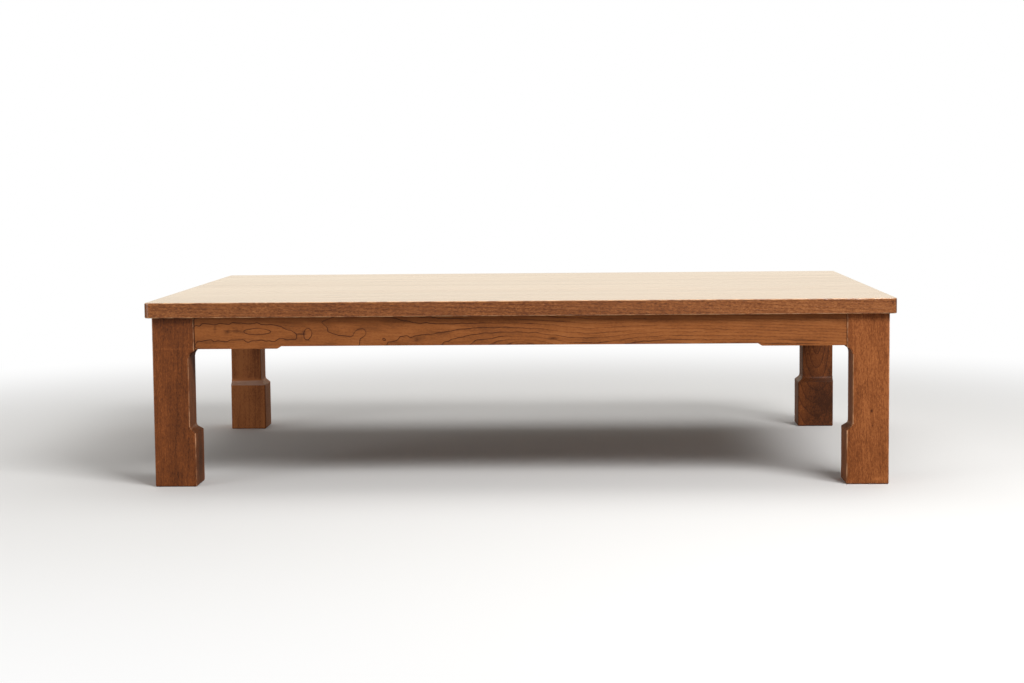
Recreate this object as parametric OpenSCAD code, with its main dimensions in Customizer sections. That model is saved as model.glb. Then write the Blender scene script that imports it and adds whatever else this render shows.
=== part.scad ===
// Low floor table in solid wood. Four edge-joined boards make the top, held flat by three
// sliding-dovetail battens. The frame under it is four stepped square legs and four aprons,
// tenoned and mitred into the legs and stiffened by corner braces. Wooden buttons hold the
// top to the frame. Origin on the floor under the middle of the table, X along the length,
// front towards minus Y.

/* [Table] */
// Length of the top
table_w = 1365; // [1250:5:1500]
// Depth of the top
table_d = 910; // [850:5:1000]
// Height from the floor to the upper face
table_h = 340; // [320:1:370]

/* [Top] */
// Thickness of the boards
top_t = 28; // [26:1:34]
// Radius of the four upright corners
corner_r = 10; // [6:1:16]
// Radius of the eased upper and lower arris
top_ease = 2; // [1:0.5:3]
// Reach of the top past the legs at each end
overhang_x = 11.5; // [8:0.5:20]
// Reach of the top past the legs at front and back
overhang_y = 13; // [8:0.5:20]

/* [Board joints] */
// Thickness of the loose tongue between two boards
spline_t = 6; // [5:0.5:7]
// Width of the loose tongue, half in each board
spline_w = 20; // [14:1:26]
// Distance from the end of the top to the end of the tongue
spline_stop = 35; // [20:1:60]

/* [Legs] */
// Side of the square leg at foot and head
leg_w = 77; // [70:1:84]
// Radius of the eased upright arrises
leg_ease = 2.5; // [1:0.5:4]
// Height of the foot block, up to its crisp shoulder
foot_h = 98; // [80:1:120]
// Bevel round the underside of the foot
foot_bevel = 2; // [1:0.5:4]
// Depth of the relief on the two inner faces
relief_d = 10.7; // [8:0.1:12]
// Slope of the foot's shoulder, in degrees from level
shoulder_slope = 38; // [30:1:45]
// Radius of the small cove above the shoulder
shoulder_cove_r = 8; // [5:1:10]
// Radius of the large cove that closes the relief at the head
head_cove_r = 13; // [12:1:16]
// Distance from the end of the relief up to the apron
head_drop = 3.5; // [1:0.5:8]

/* [Aprons] */
// Height of the aprons at the legs
apron_h = 58; // [54:1:66]
// Thickness of the aprons
apron_t = 26; // [24:1:30]
// Distance of the apron's face behind the leg's face
apron_setback = 1.5; // [0.5:0.5:3]
// Rise of the lower edge over the middle of the apron
step_rise = 4.5; // [3:0.5:8]
// Length of the deep part beside each leg
step_inset = 160; // [120:5:200]
// Slope of the step, in degrees from level
step_slope = 33; // [25:1:45]
// Radius that rounds the lower corner of the step
step_nose_r = 8; // [4:1:9]

/* [Mortise and tenon] */
// Thickness of the apron's tenon
tenon_t = 12; // [9:1:14]
// Shoulder below the tenon
tenon_shoulder = 8; // [5:1:12]
// Height of the short haunch above the tenon
haunch_h = 12; // [8:1:16]
// Length of the haunch
haunch_l = 10; // [6:1:14]
// Gap round a tenon, tongue or dovetail in its socket
joint_gap = 0.2; // [0.1:0.05:0.3]
// Gap between two tenons where their mitred ends meet inside the leg
mitre_gap = 0.6; // [0.4:0.1:1]

/* [Battens] */
// Width of a batten
batten_w = 44; // [38:1:50]
// Depth of a batten below the top
batten_h = 24; // [20:1:30]
// Distance of an outer batten's middle from the end of the frame
batten_inset = 270; // [255:5:300]
// Gap between a batten's end and the apron
batten_gap = 4; // [2:0.5:8]
// Bevel on the lower corner at each end of a batten
batten_bevel = 12; // [6:1:18]
// Height of the dovetail keys
tail_h = 9; // [7:0.5:9.5]
// Width of the dovetail keys at their wide upper face
tail_w = 30; // [26:1:34]
// Slope of the dovetail's sides, in degrees from upright
tail_angle = 12; // [8:1:15]
// Length of one dovetail key
key_l = 44; // [36:1:48]
// Room in the entry pocket beyond the length of a key
key_room = 2; // [1:0.5:3]

/* [Corner braces] */
// Thickness of a brace
brace_t = 24; // [20:1:28]
// Height of a brace
brace_h = 38; // [34:1:42]
// Distance of the brace below the top
brace_drop = 3; // [2:0.5:6]
// Gap between the brace and the leg's inner arris
brace_gap = 2; // [1:0.5:4]

/* [Buttons] */
// Length of a button along the apron
button_l = 50; // [40:1:56]
// Reach of a button's block under the top
button_w = 32; // [28:1:40]
// Height of a button
button_t = 20; // [18:1:24]
// Length of a button's tongue inside the apron
tongue_l = 9; // [7:0.5:11]
// Thickness of a button's tongue
tongue_t = 8; // [6:0.5:10]
// Gap between a button's block and the apron
button_gap = 3; // [1:0.5:5]
// Room round a tongue so that the top can shrink and swell
tongue_room = 2; // [1:0.5:3]

/* [Screws] */
// Diameter of a screw's shank
screw_d = 4; // [3.5:0.1:4.5]
// Diameter of a screw's head
screw_head_d = 8; // [7:0.5:9]
// Height of the tapered head
screw_head_h = 2.4; // [2:0.1:3]
// Gap round a shank in its hole and round a head in its seat
screw_gap = 0.2; // [0.1:0.05:0.3]
// Wood of the brace under a screw's head
brace_grip = 9; // [7:0.5:11]
// Depth of a brace screw in the apron
brace_bite = 14; // [10:1:18]
// Depth of a button screw in the top
button_bite = 9; // [7:0.5:9.5]

/* [Hidden] */
$fn = 48;

// Smooth shapes are drawn a little long where one is cut from or fused with another.
over = 1;
root_l = 4;

under_z = table_h - top_t;
frame_w = table_w - 2 * overhang_x;
frame_d = table_d - 2 * overhang_y;
apron_z = under_z - apron_h;
// Distance from the outer face of a leg to the inner face of an apron
apron_in = apron_setback + apron_t;

// Boards of the top, counted from the front
board_count = 4;
board_w = table_d / board_count;
spline_z = under_z + top_t / 2;

// Relief of the leg, drawn in depth from the inner face and height from the floor
head_r = max(head_cove_r, relief_d);
head_turn = acos(1 - relief_d / head_r);
head_z = apron_z - head_drop - head_r * sin(head_turn);
shoulder_x = relief_d - shoulder_cove_r * (1 - sin(shoulder_slope));
shoulder_z = foot_h + shoulder_x * tan(shoulder_slope) + shoulder_cove_r * cos(shoulder_slope);

// Tenon of an apron, measured in from the leg's outer face
tenon_in = apron_setback + (apron_t - tenon_t) / 2;
tenon_z = apron_z + tenon_shoulder;
tenon_top_z = under_z - haunch_h;

// Battens and their keys, with one entry pocket behind each key
batten_x = frame_w / 2 - batten_inset;
batten_l = frame_d - 2 * (apron_in + batten_gap);
pocket_l = key_l + key_room;
tail_flare = tail_h * tan(tail_angle);
key_rows = [-3:2];

// Corner brace, drawn in distances from the frame's outer corner
brace_near = 2 * leg_w + brace_gap * sqrt(2);
brace_far = brace_near + brace_t * sqrt(2);
brace_reach = brace_far - apron_in;
brace_z = under_z - brace_drop - brace_h;
brace_screw_at = (brace_near + brace_far) / 2 - apron_in;
brace_screw_zs = [brace_z + brace_h / 4, brace_z + brace_h * 3 / 4];

// Buttons along the aprons, each halfway between its neighbours
button_z = under_z - button_t;
button_near_x = batten_x / 2;
button_far_x = (batten_x + batten_w / 2 + frame_w / 2 - brace_reach) / 2;
long_buttons = [-button_far_x, -button_near_x, button_near_x, button_far_x];
short_button_y = (frame_d / 2 - brace_reach) / 2;
short_buttons = [-short_button_y, short_button_y];
mortise_l = button_l + 2 * tongue_room;
button_screw_in = apron_in + button_gap + button_w / 2;

top_colour = "#8a4f2c";
leg_colour = "#7a4325";
apron_colour = "#8f5128";
inner_colour = "#a9794a";
tongue_colour = "#c29a68";
screw_colour = "#b9a56a";

// Moves a shape drawn from the frame's outer corner to one of the four corners.
module at_corner(side, row) {
    translate([side * frame_w / 2, row * frame_d / 2, 0])
        mirror([side > 0 ? 1 : 0, 0, 0])
            mirror([0, row > 0 ? 1 : 0, 0])
                children();
}

// Turns a shape drawn along the front of the frame to its back.
module at_row(row) {
    mirror([0, row > 0 ? 1 : 0, 0])
        children();
}

// Section of the top's edge: flat inside, both arrises eased outside.
module edge_section() {
    square([corner_r - top_ease, top_t]);
    translate([0, top_ease])
        square([corner_r, top_t - 2 * top_ease]);
    for (z = [top_ease, top_t - top_ease])
        translate([corner_r - top_ease, z])
            circle(r = top_ease);
}

// The whole top as one slab: a core, four edges and four rounded corners.
module top_slab() {
    core_w = table_w - 2 * corner_r;
    core_d = table_d - 2 * corner_r;
    translate([-core_w / 2, -core_d / 2, under_z])
        cube([core_w, core_d, top_t]);
    for (turn = [0, 180])
        rotate([0, 0, turn]) {
            translate([-core_w / 2, core_d / 2, under_z])
                rotate([90, 0, 90])
                    linear_extrude(core_w)
                        edge_section();
            translate([core_w / 2, core_d / 2, under_z])
                rotate([90, 0, 0])
                    linear_extrude(core_d)
                        edge_section();
            translate([core_w / 2, core_d / 2, under_z])
                rotate_extrude(angle = 90)
                    edge_section();
            translate([-core_w / 2, core_d / 2, under_z])
                rotate([0, 0, 90])
                    rotate_extrude(angle = 90)
                        edge_section();
        }
}

// Section of a dovetail key or its socket, grown by a gap on every side but the neck's line.
module tail_section(gap) {
    polygon([
        [-tail_w / 2 + tail_flare - gap, 0],
        [tail_w / 2 - tail_flare + gap, 0],
        [tail_w / 2 + gap, tail_h + gap],
        [-tail_w / 2 - gap, tail_h + gap]
    ]);
}

// One run of dovetail from y_start, rising from the underside of the top.
module tail_run(x, y_start, length, gap) {
    translate([x, y_start + length, under_z])
        rotate([90, 0, 0])
            linear_extrude(length)
                tail_section(gap);
}

// Where a key starts: key and pocket together stay clear of the joints between boards.
function key_y(k) = (k + 0.5) * board_w / 2 - (key_l + pocket_l) / 2;

// Sockets of one batten in the underside of the top: a dovetail slot, then its entry pocket.
module batten_sockets(x) {
    for (k = key_rows) {
        tail_run(x, key_y(k) - joint_gap, key_l + 2 * joint_gap, joint_gap);
        translate([x - tail_w / 2 - joint_gap, key_y(k) + key_l, under_z - over])
            cube([tail_w + 2 * joint_gap, pocket_l, over + tail_h + joint_gap]);
    }
}

// The loose tongue on the joint line y, or with a gap the groove that it fills.
module spline_bar(y, gap) {
    bar_w = table_w - 2 * spline_stop + 2 * gap;
    translate([-bar_w / 2, y - spline_w / 2 - gap, spline_z - spline_t / 2 - gap])
        cube([bar_w, spline_w + 2 * gap, spline_t + 2 * gap]);
}

// One board of the top, with its tongue grooves, batten sockets and pilot holes.
module top_board(row) {
    y_start = -table_d / 2 + row * board_w;
    color(top_colour)
        difference() {
            intersection() {
                top_slab();
                translate([-table_w / 2 - over, y_start, under_z - over])
                    cube([table_w + 2 * over, board_w, top_t + 2 * over]);
            }
            if (row > 0)
                spline_bar(y_start, joint_gap);
            if (row < board_count - 1)
                spline_bar(y_start + board_w, joint_gap);
            for (x = [-batten_x, 0, batten_x])
                batten_sockets(x);
            button_screw_holes();
        }
}

module top_spline(line) {
    color(tongue_colour)
        spline_bar(-table_d / 2 + line * board_w, 0);
}

// One batten: a bar with bevelled ends and a row of dovetail keys on its upper face.
module batten(x) {
    color(inner_colour)
        union() {
            translate([x - batten_w / 2, 0, under_z])
                rotate([90, 0, 90])
                    linear_extrude(batten_w)
                        polygon([
                            [-batten_l / 2, 0],
                            [-batten_l / 2, -batten_h + batten_bevel],
                            [-batten_l / 2 + batten_bevel, -batten_h],
                            [batten_l / 2 - batten_bevel, -batten_h],
                            [batten_l / 2, -batten_h + batten_bevel],
                            [batten_l / 2, 0]
                        ]);
            for (k = key_rows)
                tail_run(x, key_y(k), key_l, 0);
        }
}

// Square section with its four arrises eased, from the outer corner inwards.
module eased_square(side) {
    translate([leg_ease, 0])
        square([side - 2 * leg_ease, side]);
    translate([0, leg_ease])
        square([side, side - 2 * leg_ease]);
    for (x = [leg_ease, side - leg_ease], y = [leg_ease, side - leg_ease])
        translate([x, y])
            circle(r = leg_ease);
}

// What the relief takes off an inner face, with its shoulder slope and both coves.
module relief_section() {
    polygon([
        [-over, foot_h],
        [0, foot_h],
        [shoulder_x, foot_h + shoulder_x * tan(shoulder_slope)],
        [relief_d - shoulder_cove_r, shoulder_z],
        [relief_d, shoulder_z],
        [relief_d, head_z],
        [-over, head_z]
    ]);
    translate([relief_d - shoulder_cove_r, shoulder_z])
        circle(r = shoulder_cove_r);
    translate([relief_d - head_r, head_z])
        circle(r = head_r);
}

// The relief of one inner face, cut right across the leg.
module relief_cut() {
    translate([leg_w, leg_w + over, 0])
        rotate([90, 0, 0])
            linear_extrude(leg_w + 2 * over)
                mirror([1, 0])
                    relief_section();
}

// What easing takes off a square arris at the origin, its wood towards minus x and minus y.
module arris_waste() {
    difference() {
        translate([-leg_ease, -leg_ease])
            square(leg_ease + over);
        translate([-leg_ease, -leg_ease])
            circle(r = leg_ease);
    }
}

// Eases the three arrises that the relief leaves sharp, between its two coves.
module waist_ease_cut() {
    waist_w = leg_w - relief_d;
    translate([0, 0, shoulder_z])
        linear_extrude(head_z - shoulder_z) {
            translate([waist_w, waist_w])
                arris_waste();
            translate([waist_w, 0])
                mirror([0, 1])
                    arris_waste();
            translate([0, waist_w])
                mirror([1, 0])
                    arris_waste();
        }
}

// Slot for one tenon and its haunch, entered from the leg's inner face.
module mortise_cut() {
    translate([tenon_in - joint_gap, tenon_in - joint_gap, tenon_z - joint_gap])
        cube([leg_w, tenon_t + 2 * joint_gap, tenon_top_z - tenon_z + 2 * joint_gap]);
    translate([leg_w - haunch_l - joint_gap, tenon_in - joint_gap, tenon_z])
        cube([leg_w, tenon_t + 2 * joint_gap, under_z]);
}

// Bevel round the sole of the foot, as one cut along each of its four edges.
module sole_cut() {
    for (turn = [0:90:270])
        translate([leg_w / 2, leg_w / 2, 0])
            rotate([0, 0, turn])
                translate([-leg_w / 2, leg_w / 2 + over, 0])
                    rotate([90, 0, 0])
                        linear_extrude(leg_w + 2 * over)
                            polygon([[-over, -over], [foot_bevel, -over], [foot_bevel, 0],
                                [0, foot_bevel], [-over, foot_bevel]]);
}

// One leg, drawn from the frame's outer corner: foot, relieved waist and mortised head.
module leg(side, row) {
    color(leg_colour)
        at_corner(side, row)
            difference() {
                linear_extrude(under_z)
                    eased_square(leg_w);
                for (flip = [0, 1])
                    mirror([flip, -flip, 0]) {
                        relief_cut();
                        mortise_cut();
                    }
                waist_ease_cut();
                sole_cut();
            }
}

// Outline of an apron between its shoulders: a raised middle, and a rounded step at each end.
module apron_outline(length) {
    step_x = length / 2 - step_inset;
    step_run = step_rise / tan(step_slope);
    nose_run = step_nose_r * tan(step_slope / 2);
    for (turn = [0, 1])
        mirror([turn, 0]) {
            polygon([
                [0, apron_z + step_rise],
                [step_x, apron_z + step_rise],
                [step_x + step_run - nose_run * cos(step_slope), apron_z + nose_run * sin(step_slope)],
                [step_x + step_run + nose_run, apron_z],
                [length / 2, apron_z],
                [length / 2, under_z],
                [0, under_z]
            ]);
            translate([step_x + step_run + nose_run, apron_z + step_nose_r])
                circle(r = step_nose_r);
        }
}

// Tenon and haunch on one end of an apron, its far end cut at 45 degrees against its neighbour.
module tenon(length) {
    tip = length / 2 + leg_w - tenon_in - mitre_gap / 2;
    translate([0, 0, tenon_z])
        linear_extrude(tenon_top_z - tenon_z)
            polygon([
                [length / 2 - root_l, tenon_in],
                [tip, tenon_in],
                [tip - tenon_t, tenon_in + tenon_t],
                [length / 2 - root_l, tenon_in + tenon_t]
            ]);
    translate([length / 2 - root_l, tenon_in, tenon_top_z])
        cube([root_l + haunch_l, tenon_t, haunch_h]);
}

// An apron of a given clear length, drawn along X with the frame's outer face at y = 0.
module apron_bar(length, buttons) {
    difference() {
        union() {
            translate([0, apron_in, 0])
                rotate([90, 0, 0])
                    linear_extrude(apron_t)
                        apron_outline(length);
            for (turn = [0, 1])
                mirror([turn, 0, 0])
                    tenon(length);
        }
        for (x = buttons)
            translate([x - mortise_l / 2, apron_in - tongue_l - tongue_room, button_z - tongue_room])
                cube([mortise_l, tongue_l + tongue_room + over, tongue_t + tongue_room]);
    }
}

module long_apron(row) {
    color(apron_colour)
        difference() {
            at_row(row)
                translate([0, -frame_d / 2, 0])
                    apron_bar(frame_w - 2 * leg_w, long_buttons);
            brace_screw_holes();
        }
}

module short_apron(side) {
    color(apron_colour)
        difference() {
            rotate([0, 0, side > 0 ? 90 : -90])
                translate([0, -frame_w / 2, 0])
                    apron_bar(frame_d - 2 * leg_w, short_buttons);
            brace_screw_holes();
        }
}

// One screw pointing up, its head's face at z = 0.
module screw(length) {
    cylinder(d1 = screw_head_d, d2 = screw_d, h = screw_head_h);
    cylinder(d = screw_d, h = length);
}

// The room that such a screw needs: a driver's way in, a tapered seat and a hole.
module screw_room(length, way_in) {
    translate([0, 0, -way_in])
        cylinder(d = screw_head_d + 2 * screw_gap, h = way_in);
    cylinder(d1 = screw_head_d + 2 * screw_gap, d2 = screw_d + 2 * screw_gap, h = screw_head_h);
    cylinder(d = screw_d + 2 * screw_gap, h = length + screw_gap);
}

// Places a child at each screw of one brace, pointing into the two aprons.
module at_brace_screws(side, row) {
    at_corner(side, row)
        for (flip = [0, 1], z = brace_screw_zs)
            mirror([flip, -flip, 0])
                translate([brace_screw_at, apron_in + brace_grip, z])
                    rotate([90, 0, 0])
                        children();
}

module brace_screw_holes() {
    for (side = [-1, 1], row = [-1, 1])
        at_brace_screws(side, row)
            screw_room(brace_grip + brace_bite, brace_t);
}

// One corner brace, fitted between two aprons across the corner behind the leg.
module brace(side, row) {
    color(inner_colour)
        difference() {
            at_corner(side, row)
                translate([0, 0, brace_z])
                    linear_extrude(brace_h)
                        polygon([
                            [brace_near - apron_in, apron_in],
                            [brace_far - apron_in, apron_in],
                            [apron_in, brace_far - apron_in],
                            [apron_in, brace_near - apron_in]
                        ]);
            at_brace_screws(side, row)
                screw_room(brace_grip + brace_bite, brace_t);
        }
}

// Places a child at one button of a long apron, drawn with the frame's outer face at y = 0.
module at_long_button(row, i) {
    at_row(row)
        translate([long_buttons[i], -frame_d / 2, 0])
            children();
}

module at_short_button(side, i) {
    rotate([0, 0, side > 0 ? 90 : -90])
        translate([short_buttons[i], -frame_w / 2, 0])
            children();
}

module at_every_button() {
    for (row = [-1, 1], i = [0:len(long_buttons) - 1])
        at_long_button(row, i)
            children();
    for (side = [-1, 1], i = [0:len(short_buttons) - 1])
        at_short_button(side, i)
            children();
}

// Places a child at a button's screw, pointing up from the button's lower face.
module at_button_screw() {
    translate([0, button_screw_in, button_z])
        children();
}

module button_screw_holes() {
    at_every_button()
        at_button_screw()
            screw_room(button_t + button_bite, over);
}

// One button: a block under the top with a tongue that hooks into the apron.
module button() {
    color(inner_colour)
        difference() {
            union() {
                translate([-button_l / 2, apron_in + button_gap, button_z])
                    cube([button_l, button_w, button_t]);
                translate([-button_l / 2, apron_in - tongue_l, button_z])
                    cube([button_l, tongue_l + button_gap + root_l, tongue_t]);
            }
            at_button_screw()
                screw_room(button_t + button_bite, over);
        }
}

module brace_screws() {
    color(screw_colour)
        for (side = [-1, 1], row = [-1, 1])
            at_brace_screws(side, row)
                screw(brace_grip + brace_bite);
}

module button_screws() {
    color(screw_colour)
        at_every_button()
            at_button_screw()
                screw(button_t + button_bite);
}

top_board(0);  // top_board_front
top_board(1);  // top_board_front_middle
top_board(2);  // top_board_back_middle
top_board(3);  // top_board_back
top_spline(1);  // top_spline_front
top_spline(2);  // top_spline_middle
top_spline(3);  // top_spline_back
batten(-batten_x);  // batten_left
batten(0);  // batten_middle
batten(batten_x);  // batten_right
leg(-1, -1);  // leg_front_left
leg(1, -1);  // leg_front_right
leg(-1, 1);  // leg_back_left
leg(1, 1);  // leg_back_right
long_apron(-1);  // apron_front
long_apron(1);  // apron_back
short_apron(-1);  // apron_left
short_apron(1);  // apron_right
brace(-1, -1);  // brace_front_left
brace(1, -1);  // brace_front_right
brace(-1, 1);  // brace_back_left
brace(1, 1);  // brace_back_right
at_long_button(-1, 0) button();  // button_front_1
at_long_button(-1, 1) button();  // button_front_2
at_long_button(-1, 2) button();  // button_front_3
at_long_button(-1, 3) button();  // button_front_4
at_long_button(1, 0) button();  // button_back_1
at_long_button(1, 1) button();  // button_back_2
at_long_button(1, 2) button();  // button_back_3
at_long_button(1, 3) button();  // button_back_4
at_short_button(-1, 0) button();  // button_left_1
at_short_button(-1, 1) button();  // button_left_2
at_short_button(1, 0) button();  // button_right_1
at_short_button(1, 1) button();  // button_right_2
brace_screws();
button_screws();
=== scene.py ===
"""Low floor table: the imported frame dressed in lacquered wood, in a plain pale studio.

All distances are in metres, with the origin on the floor under the middle of the table, X along
its length, the front towards minus Y and Z upwards. The joiner's pieces stay as the frame holds
them and get their arrises eased and their wood; the screws are cut here with their threads and
cross recesses.
"""
import functools
import logging
import math
from dataclasses import dataclass, field
from enum import Enum
from typing import Any, Optional, Union

import bpy
import numpy as np
from mathutils import Matrix, Vector


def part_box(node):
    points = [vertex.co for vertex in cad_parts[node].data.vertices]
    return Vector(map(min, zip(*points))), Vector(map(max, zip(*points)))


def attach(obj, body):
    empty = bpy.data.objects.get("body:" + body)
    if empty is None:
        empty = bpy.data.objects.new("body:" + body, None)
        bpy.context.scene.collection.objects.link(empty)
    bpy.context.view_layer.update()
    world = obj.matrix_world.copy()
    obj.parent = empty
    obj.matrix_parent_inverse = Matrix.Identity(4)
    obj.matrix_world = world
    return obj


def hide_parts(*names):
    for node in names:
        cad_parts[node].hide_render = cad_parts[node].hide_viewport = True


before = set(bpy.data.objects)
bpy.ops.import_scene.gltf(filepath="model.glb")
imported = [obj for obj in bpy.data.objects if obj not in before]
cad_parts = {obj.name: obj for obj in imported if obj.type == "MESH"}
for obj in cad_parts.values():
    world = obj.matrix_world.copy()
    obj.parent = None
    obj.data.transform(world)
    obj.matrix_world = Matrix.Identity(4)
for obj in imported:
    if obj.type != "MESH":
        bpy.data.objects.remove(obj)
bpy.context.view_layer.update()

LOG = logging.getLogger("floor_table")

Socket = bpy.types.NodeSocket
Tree = bpy.types.NodeTree
Feed = Union[float, tuple, Socket]
Colour = tuple[float, float, float, float]
Point = tuple[float, float, float]

ORIGIN: Point = (0.0, 0.0, 0.0)
UPWARDS: Point = (0.0, 0.0, 1.0)
WHITE: Colour = (1.0, 1.0, 1.0, 1.0)

# The upright planes on which marks are set, at or close to a piece's front face, as values of Y.
TOP_FACE = -0.455
APRON_FACE = -0.4405
FRONT_LEG_FACE = -0.442
BACK_LEFT_LEG_FACE = 0.368
BACK_RIGHT_LEG_FACE = 0.366

# How far a mark on one of these planes reaches into the wood.
INWARD_REACH = 0.01

# How arrises are eased: which corners are joined, what counts as flat, and what as sharp.
WELD_REACH = 0.00001
FLAT_ANGLE = math.radians(0.5)
SHARP_ANGLE = math.radians(35)


class GrainAxis(Enum):
    """Which way the grain runs, with the turn that lays the pattern's X along it."""

    ALONG_X = (0.0, 0.0, 0.0)
    ALONG_Y = (0.0, 0.0, math.pi / 2)
    ALONG_Z = (0.0, -math.pi / 2, 0.0)


ALONG_X, ALONG_Y, ALONG_Z = GrainAxis


def shown(red: float, green: float, blue: float) -> Colour:
    """Turns a colour as a screen shows it into the linear colour that a shader takes.

    Each channel c of 0 to 255 is divided by 255; below 0.04045 it is divided by 12.92, and
    otherwise it is ((c + 0.055) / 1.055) to the power 2.4.

    Args:
        red: Red, 0 to 255.
        green: Green, 0 to 255.
        blue: Blue, 0 to 255.

    Returns:
        The linear colour, opaque.
    """
    c = np.array([red, green, blue]) / 255
    linear = np.where(c <= 0.04045, c / 12.92, ((c + 0.055) / 1.055) ** 2.4)
    return (*linear.tolist(), 1.0)


@dataclass
class NodeBench:
    """The node tree of a material, world or group, with short calls that fill and wire it."""

    tree: Tree
    columns: int = 9
    column_width: int = 190
    row_height: int = 260

    def put(self, kind: str, feeds: Optional[dict] = None, **settings: Any) -> bpy.types.Node:
        """Adds one node.

        Args:
            kind: The node's type name.
            feeds: What goes into its inputs, by name or number.
            **settings: The node's own properties, set before the inputs are fed.

        Returns:
            The new node.
        """
        node = self.tree.nodes.new(kind)
        row, column = divmod(len(self.tree.nodes), self.columns)
        node.location = (self.column_width * column, -self.row_height * row)
        for name, value in settings.items():
            setattr(node, name, value)
        self.feed_all(node, feeds or {})
        return node

    def feed_all(self, node: bpy.types.Node, feeds: dict) -> None:
        """Feeds inputs of a node, by name or number."""
        for key, feed in feeds.items():
            self.feed(node.inputs[key], feed)

    def feed(self, socket: Socket, feed: Feed) -> None:
        """Links a socket, or sets its value.

        Args:
            socket: The input.
            feed: Another node's output, or a plain value.
        """
        if isinstance(feed, Socket):
            self.tree.links.new(feed, socket)
        else:
            socket.default_value = feed

    def math(self, operation: str, *feeds: Feed, clamp: bool = False) -> Socket:
        """Adds a Math node and returns its output."""
        node = self.put("ShaderNodeMath", dict(enumerate(feeds)), operation=operation, use_clamp=clamp)
        return node.outputs[0]

    def plus(self, first: Feed, second: Feed) -> Socket:
        """Adds two values."""
        return self.math("ADD", first, second)

    def minus(self, first: Feed, second: Feed) -> Socket:
        """Takes the second value from the first."""
        return self.math("SUBTRACT", first, second)

    def times(self, first: Feed, second: Feed) -> Socket:
        """Multiplies two values."""
        return self.math("MULTIPLY", first, second)

    def times_plus(self, first: Feed, second: Feed, third: Feed) -> Socket:
        """Multiplies two values and adds a third."""
        return self.math("MULTIPLY_ADD", first, second, third)

    def vector(self, operation: str, *feeds: Feed) -> Socket:
        """Adds a Vector Math node and returns its vector."""
        node = self.put("ShaderNodeVectorMath", dict(enumerate(feeds)), operation=operation)
        return node.outputs["Vector"]

    def vector_value(self, operation: str, *feeds: Feed) -> Socket:
        """Adds a Vector Math node and returns its value, such as a length."""
        node = self.put("ShaderNodeVectorMath", dict(enumerate(feeds)), operation=operation)
        return node.outputs["Value"]

    def scaled(self, vector: Feed, factor: Feed) -> Socket:
        """Multiplies a vector by a value."""
        feeds = {0: vector, "Scale": factor}
        return self.put("ShaderNodeVectorMath", feeds, operation="SCALE").outputs["Vector"]

    def group(self, tree: Tree, **feeds: Feed) -> Any:
        """Adds a group and returns its outputs; an underscore in a name stands for a space."""
        by_name = {name.replace("_", " "): feed for name, feed in feeds.items()}
        return self.put("ShaderNodeGroup", by_name, node_tree=tree).outputs

    def noise(self, place: Feed, stretch: tuple, seed: Feed, detail: float = 2.0,
              rough: float = 0.5, colour: bool = False) -> Socket:
        """Adds noise whose grain has its own size along each axis.

        Args:
            place: Where the noise is read, in metres.
            stretch: Waves per metre along the grain and across it, both ways.
            seed: Which of the endless patterns it is.
            detail: Octaves.
            rough: How strong the finer octaves are.
            colour: Whether three unlike channels are wanted.

        Returns:
            The noise, about 0.5 in the mean.
        """
        scaled = self.vector("MULTIPLY", place, stretch)
        feeds = {"Vector": scaled, "W": seed, "Scale": 1.0, "Detail": detail, "Roughness": rough}
        node = self.put("ShaderNodeTexNoise", feeds, noise_dimensions="4D")
        return node.outputs["Color" if colour else "Fac"]

    def ramp(self, value: Feed, low: float, high: float, start: float = 0.0,
             end: float = 1.0) -> Socket:
        """Eases a value that goes from low to high into one that goes from start to end."""
        feeds = {"Value": value, "From Min": low, "From Max": high, "To Min": start, "To Max": end}
        node = self.put("ShaderNodeMapRange", feeds, interpolation_type="SMOOTHSTEP")
        return node.outputs["Result"]

    def bump(self, height: Feed, distance: float, strength: float) -> Socket:
        """Adds a Bump node, for a height of 0 to 1 over the distance, and returns its normal."""
        feeds = {"Height": height, "Distance": distance, "Strength": strength}
        return self.put("ShaderNodeBump", feeds).outputs[0]

    def mix(self, share: Feed, first: Feed, second: Feed) -> Socket:
        """Mixes two colours; the share, 0 to 1, says how much of the second one."""
        node = self.put("ShaderNodeMix", {0: share, 6: first, 7: second}, data_type="RGBA")
        return node.outputs[2]

    def mix_shader(self, share: Feed, first: Socket, second: Socket) -> Socket:
        """Mixes two shaders; the share, 0 to 1, says how much of the second one."""
        return self.put("ShaderNodeMixShader", {0: share, 1: first, 2: second}).outputs[0]

    def backdrop(self, colour: Colour, strength: Feed = 1.0) -> Socket:
        """Adds a Background shader and returns its output."""
        return self.put("ShaderNodeBackground", {"Color": colour, "Strength": strength}).outputs[0]


def new_group(name: str, takes: dict[str, Union[float, Point]],
              *gives: str) -> tuple[Tree, NodeBench, Any, Any]:
    """Starts a shader group with named inputs and outputs.

    Args:
        name: The group's name.
        takes: Each input's usual value: a number, or a point where the input is a vector.
        *gives: The names of the outputs, which are numbers.

    Returns:
        The group's tree, a bench for it, its inputs as sockets and its output node's sockets.
    """
    tree = bpy.data.node_groups.new(name, "ShaderNodeTree")
    for label, usual in takes.items():
        kind = "NodeSocketVector" if isinstance(usual, tuple) else "NodeSocketFloat"
        socket = tree.interface.new_socket(name=label, in_out="INPUT", socket_type=kind)
        socket.default_value = usual
    for label in gives:
        tree.interface.new_socket(name=label, in_out="OUTPUT", socket_type="NodeSocketFloat")
    bench = NodeBench(tree)
    inputs = bench.put("NodeGroupInput").outputs
    outputs = bench.put("NodeGroupOutput").inputs
    return tree, bench, inputs, outputs


def new_material(name: str) -> tuple[bpy.types.Material, NodeBench, bpy.types.Node]:
    """Starts a material.

    Args:
        name: The material's name.

    Returns:
        The material, a bench for its tree, and its surface shader.
    """
    material = bpy.data.materials.new(name)
    material.use_nodes = True
    return material, NodeBench(material.node_tree), material.node_tree.nodes["Principled BSDF"]


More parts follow.
